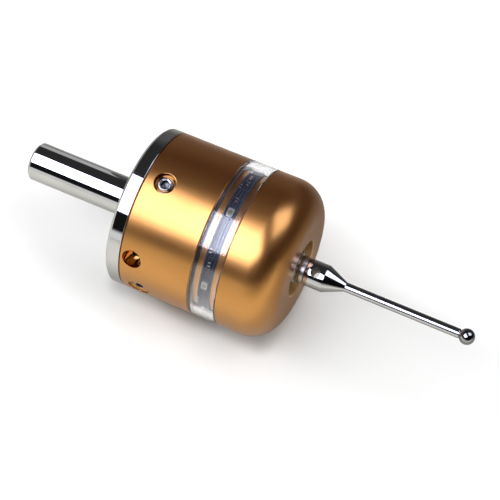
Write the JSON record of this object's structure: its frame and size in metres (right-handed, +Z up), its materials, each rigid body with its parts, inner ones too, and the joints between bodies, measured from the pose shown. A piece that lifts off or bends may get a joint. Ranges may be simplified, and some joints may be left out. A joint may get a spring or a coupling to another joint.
{
  "type": "three-dimensional edge finder",
  "caption": "Touch probe for finding a workpiece's edges on a milling machine: straight shank, round gold body with a clear lamp ring, and a sprung ball-ended stylus.",
  "frame": {"origin": "on the ground plane, under the middle of the whole tool's length, with the tool lying on its round body", "axes": "+X along the tool axis towards the stylus ball, +Z up, +Y to the left of someone who looks along +X"},
  "size_m": [0.121, 0.0414, 0.0414],
  "materials": {
    "chrome_steel": "polished and hard chromed",
    "plain_steel": "fine turned",
    "ball_steel": "lapped to a mirror",
    "spring_wire": "drawn wire",
    "gold_anodised": "satin gold anodised",
    "clear_acrylic": "clear, polished",
    "flex_board": "satin film",
    "lamp_resin": "clear resin over white",
    "board_laminate": "lacquered laminate",
    "cell_can": "nickel plated",
    "moulded_plastic": "moulded, black"
  },
  "bodies": {
    "housing": {"shank_flange": "chrome_steel", "draw_screw": "plain_steel", "draw_washer": "plain_steel", "upper_shell": "gold_anodised", "centring_screw_1": "plain_steel", "centring_screw_2": "plain_steel", "centring_screw_3": "plain_steel", "centring_screw_4": "plain_steel", "clear_ring": "clear_acrylic", "lamp_strip": "flex_board", "lamp_1": "lamp_resin", "lamp_2": "lamp_resin", "lamp_3": "lamp_resin", "lamp_4": "lamp_resin", "lamp_5": "lamp_resin", "lamp_6": "lamp_resin", "circuit_board": "board_laminate", "cell_holder": "moulded_plastic", "coin_cell": "cell_can", "contact_leaf": "plain_steel", "spring_plate": "plain_steel", "dome_shell": "gold_anodised", "seat_ring": "moulded_plastic", "contact_ball_1": "ball_steel", "contact_ball_2": "ball_steel", "contact_ball_3": "ball_steel", "contact_ball_4": "ball_steel", "contact_ball_5": "ball_steel", "contact_ball_6": "ball_steel", "seat_screw_1": "plain_steel", "seat_screw_2": "plain_steel", "seat_screw_3": "plain_steel"},
    "tip_stage_1": {"return_spring_1": "spring_wire"},
    "tip_stage_2": {"return_spring_2": "spring_wire"},
    "tip_stage_3": {"return_spring_3": "spring_wire"},
    "stylus_group": {"hub": "plain_steel", "contact_pin_1": "ball_steel", "contact_pin_2": "ball_steel", "contact_pin_3": "ball_steel", "stylus_holder": "plain_steel", "stylus": "plain_steel", "stylus_ball": "ball_steel"}
  },
  "joints": [
    {"name": "tip_1", "type": "hinge", "parent": "housing", "child": "tip_stage_1", "pos_m": [0.0066, 0, 0.01581], "axis": [0, -1, 0], "range_deg": [0, 8], "stiffness_Nm_per_rad": 0.2, "springref_deg": -8.59, "deforming": ["return_spring_1"]},
    {"name": "tip_2", "type": "hinge", "parent": "tip_stage_1", "child": "tip_stage_2", "pos_m": [0.0066, 0.00424, 0.02316], "axis": [0, 0.5, -0.866], "range_deg": [0, 8], "stiffness_Nm_per_rad": 0.2, "springref_deg": -8.59, "deforming": ["return_spring_2"]},
    {"name": "tip_3", "type": "hinge", "parent": "tip_stage_2", "child": "tip_stage_3", "pos_m": [0.0066, -0.00424, 0.02316], "axis": [0, 0.5, 0.866], "range_deg": [0, 8], "stiffness_Nm_per_rad": 0.2, "springref_deg": -8.59, "deforming": ["return_spring_3"]},
    {"name": "lift", "type": "slide", "parent": "tip_stage_3", "child": "stylus_group", "axis": [-1, 0, 0], "range_m": [0, 0.0025], "stiffness_N_per_m": 800, "springref_m": -0.0025, "deforming": ["return_spring_1", "return_spring_2", "return_spring_3"]}
  ]
}
